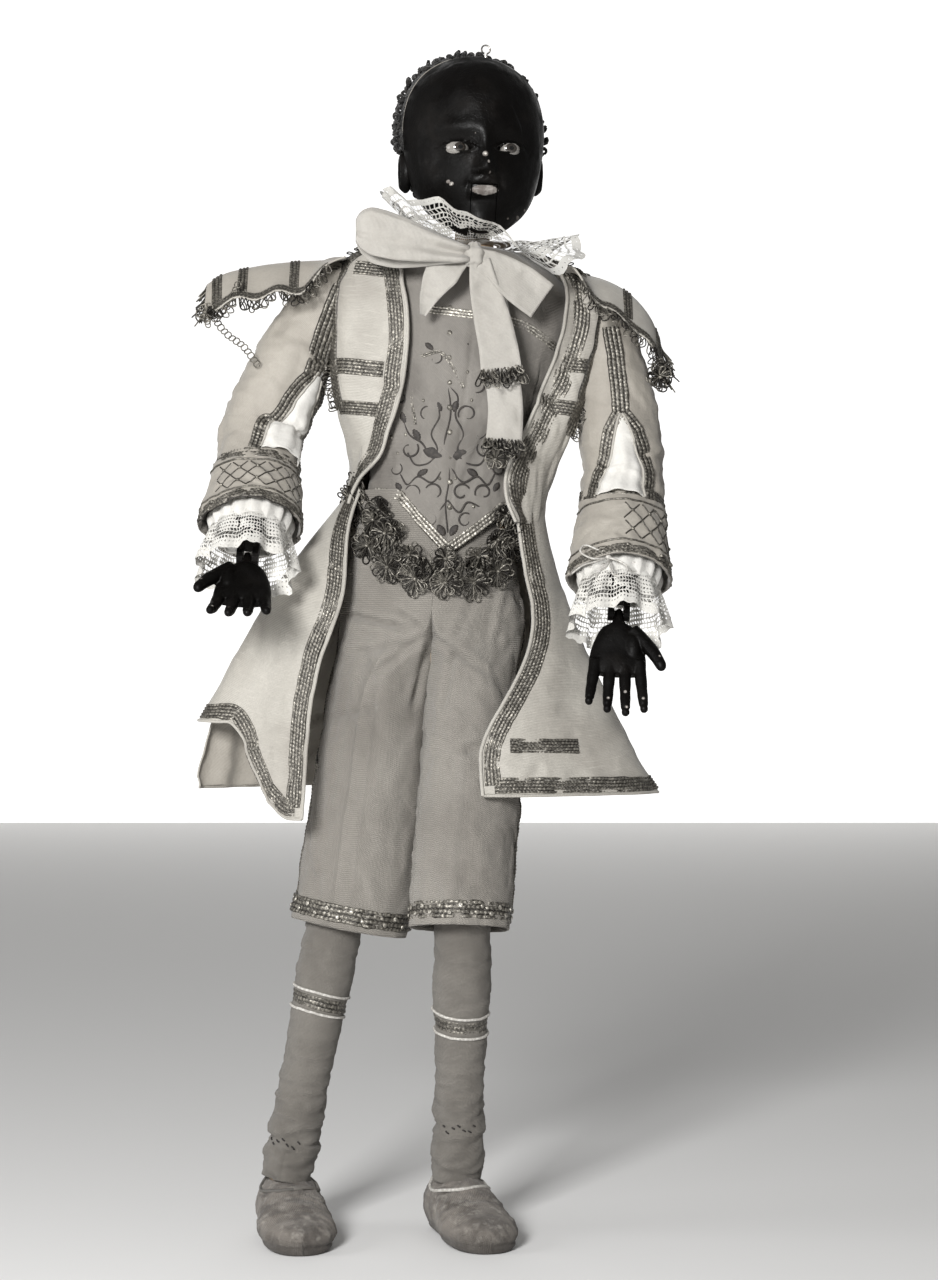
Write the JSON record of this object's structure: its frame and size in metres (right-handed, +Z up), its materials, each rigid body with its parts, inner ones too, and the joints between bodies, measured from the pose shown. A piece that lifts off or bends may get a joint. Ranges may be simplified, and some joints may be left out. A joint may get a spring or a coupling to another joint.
{
  "type": "jointed puppet",
  "caption": "Carved wooden page-boy puppet in braided silk coat, ribbed breeches, stockings and cloth shoes, jointed at neck, mouth, arms and legs.",
  "frame": {"origin": "the rest point on the coat's back, between the shoulder blades, where the figure leans on a wall or a hand holds it", "axes": "+Z up along the figure, -Y the way the figure faces, +X towards the figure's left hand"},
  "size_m": [0.2385, 0.1366, 0.6052],
  "materials": {
    "painted_wood": "worn dark paint, satin",
    "bare_wood": "plain, sanded",
    "steel_wire": "drawn wire",
    "eye_glass": "polished, opaque white with a light iris",
    "hair": "tight dark curls",
    "coat_silk": "pale ribbed silk with metallic braid",
    "waistcoat_silk": "grey-brown embroidered silk",
    "ribbon_silk": "pale silk ribbon",
    "lace": "white bobbin lace",
    "ribbed_cloth": "grey-brown ribbed silk",
    "stocking_knit": "grey-brown fine knit",
    "shoe_cloth": "worn pale leather and cloth"
  },
  "bodies": {
    "trunk": {"torso": "bare_wood", "pelvis": "bare_wood", "waist_dowel": "bare_wood", "shoulder_rod": "steel_wire", "hip_rod": "steel_wire", "waistcoat": "waistcoat_silk", "coat_back": "coat_silk", "right_coat_front": "coat_silk", "left_coat_front": "coat_silk", "coat_skirt_back": "coat_silk", "right_coat_skirt": "coat_silk", "left_coat_skirt": "coat_silk", "right_wing": "coat_silk", "left_wing": "coat_silk", "lace_collar": "lace", "neck_ribbon": "ribbon_silk", "breeches_seat": "ribbed_cloth"},
    "neck": {"neck_post": "bare_wood", "nod_pin": "steel_wire"},
    "head": {"head": "painted_wood", "right_eye": "eye_glass", "left_eye": "eye_glass", "wig": "hair", "crown_eye": "steel_wire", "jaw_pin": "steel_wire", "jaw_spring": "steel_wire"},
    "jaw": {"jaw": "painted_wood"},
    "right_shoulder": {"right_shoulder_block": "bare_wood", "right_shoulder_pin": "steel_wire"},
    "right_upper_arm": {"right_upper_arm": "bare_wood", "right_elbow_pin": "steel_wire", "right_sleeve": "coat_silk"},
    "right_forearm": {"right_forearm": "painted_wood", "right_wrist_pin": "steel_wire", "right_cuff": "waistcoat_silk", "right_lace_cuff": "lace"},
    "right_hand": {"right_hand": "painted_wood"},
    "right_thigh": {"right_thigh": "bare_wood", "right_knee_pin": "steel_wire", "right_breeches_leg": "ribbed_cloth"},
    "right_lower_leg": {"right_lower_leg": "bare_wood", "right_stocking": "stocking_knit", "right_shoe": "shoe_cloth"},
    "left_shoulder": {"left_shoulder_block": "bare_wood", "left_shoulder_pin": "steel_wire"},
    "left_upper_arm": {"left_upper_arm": "bare_wood", "left_elbow_pin": "steel_wire", "left_sleeve": "coat_silk"},
    "left_forearm": {"left_forearm": "painted_wood", "left_wrist_pin": "steel_wire", "left_cuff": "waistcoat_silk", "left_lace_cuff": "lace"},
    "left_hand": {"left_hand": "painted_wood"},
    "left_thigh": {"left_thigh": "bare_wood", "left_knee_pin": "steel_wire", "left_breeches_leg": "ribbed_cloth"},
    "left_lower_leg": {"left_lower_leg": "bare_wood", "left_stocking": "stocking_knit", "left_shoe": "shoe_cloth"}
  },
  "joints": [
    {"name": "head_turn", "type": "hinge", "parent": "trunk", "child": "neck", "pos_m": [0.0055, -0.032, 0.075], "axis": [0, 0, 1], "range_deg": [-58, 32], "deforming": ["lace_collar"]},
    {"name": "head_nod", "type": "hinge", "parent": "neck", "child": "head", "pos_m": [0.0055, -0.032, 0.075], "axis": [-0.9877, -0.1564, 0], "range_deg": [-10, 12], "deforming": ["lace_collar"]},
    {"name": "jaw_open", "type": "hinge", "parent": "head", "child": "jaw", "pos_m": [0.00472, -0.02706, 0.091], "axis": [0.9877, 0.1564, 0], "range_deg": [0, 10], "stiffness_Nm_per_rad": 0.01, "springref_deg": -20.05, "deforming": ["jaw_spring", "lace_collar"]},
    {"name": "right_shoulder_swing", "type": "hinge", "parent": "trunk", "child": "right_shoulder", "pos_m": [-0.06277, -0.034, 0.03235], "axis": [-0.9936, 0, 0.1132], "range_deg": [-6, 85], "deforming": ["right_sleeve", "right_wing"]},
    {"name": "right_shoulder_spread", "type": "hinge", "parent": "right_shoulder", "child": "right_upper_arm", "pos_m": [-0.06277, -0.034, 0.03235], "axis": [0, 1, 0], "range_deg": [-2, 50], "deforming": ["right_sleeve", "right_wing"]},
    {"name": "right_elbow", "type": "hinge", "parent": "right_upper_arm", "child": "right_forearm", "pos_m": [-0.10267, -0.034, -0.0427], "axis": [-0.9986, 0, 0.0523], "range_deg": [-15, 60], "deforming": ["right_sleeve", "right_cuff"]},
    {"name": "right_wrist", "type": "hinge", "parent": "right_forearm", "child": "right_hand", "pos_m": [-0.10589, -0.07702, -0.10406], "axis": [-0.9986, 0, 0.0523], "range_deg": [-20, 20], "deforming": ["right_lace_cuff"]},
    {"name": "right_hip", "type": "hinge", "parent": "trunk", "child": "right_thigh", "pos_m": [-0.038, -0.034, -0.149], "axis": [-1, 0, 0], "range_deg": [-10, 60], "deforming": ["right_breeches_leg", "right_coat_skirt", "breeches_seat"]},
    {"name": "right_knee", "type": "hinge", "parent": "right_thigh", "child": "right_lower_leg", "pos_m": [-0.06142, -0.034, -0.27179], "axis": [0.9823, 0, -0.1874], "range_deg": [0, 80], "deforming": ["right_breeches_leg"]},
    {"name": "left_shoulder_swing", "type": "hinge", "parent": "trunk", "child": "left_shoulder", "pos_m": [0.06839, -0.034, 0.0174], "axis": [-0.9936, 0, 0.1132], "range_deg": [-12, 85], "deforming": ["left_sleeve", "left_wing"]},
    {"name": "left_shoulder_spread", "type": "hinge", "parent": "left_shoulder", "child": "left_upper_arm", "pos_m": [0.06839, -0.034, 0.0174], "axis": [0, -1, 0], "range_deg": [-6, 50], "deforming": ["left_sleeve", "left_wing"]},
    {"name": "left_elbow", "type": "hinge", "parent": "left_upper_arm", "child": "left_forearm", "pos_m": [0.08168, -0.034, -0.06655], "axis": [-0.9986, 0, 0.0523], "range_deg": [-25, 65], "deforming": ["left_sleeve", "left_cuff"]},
    {"name": "left_wrist", "type": "hinge", "parent": "left_forearm", "child": "left_hand", "pos_m": [0.07828, -0.0715, -0.13141], "axis": [-0.9986, 0, 0.0523], "range_deg": [-20, 20], "deforming": ["left_lace_cuff"]},
    {"name": "left_hip", "type": "hinge", "parent": "trunk", "child": "left_thigh", "pos_m": [0.004, -0.034, -0.149], "axis": [-1, 0, 0], "range_deg": [-20, 50], "deforming": ["left_breeches_leg", "left_coat_skirt", "breeches_seat"]},
    {"name": "left_knee", "type": "hinge", "parent": "left_thigh", "child": "left_lower_leg", "pos_m": [0.00121, -0.05699, -0.27183], "axis": [0.9997, 0, -0.0227], "range_deg": [-20, 60], "deforming": ["left_breeches_leg"]}
  ]
}
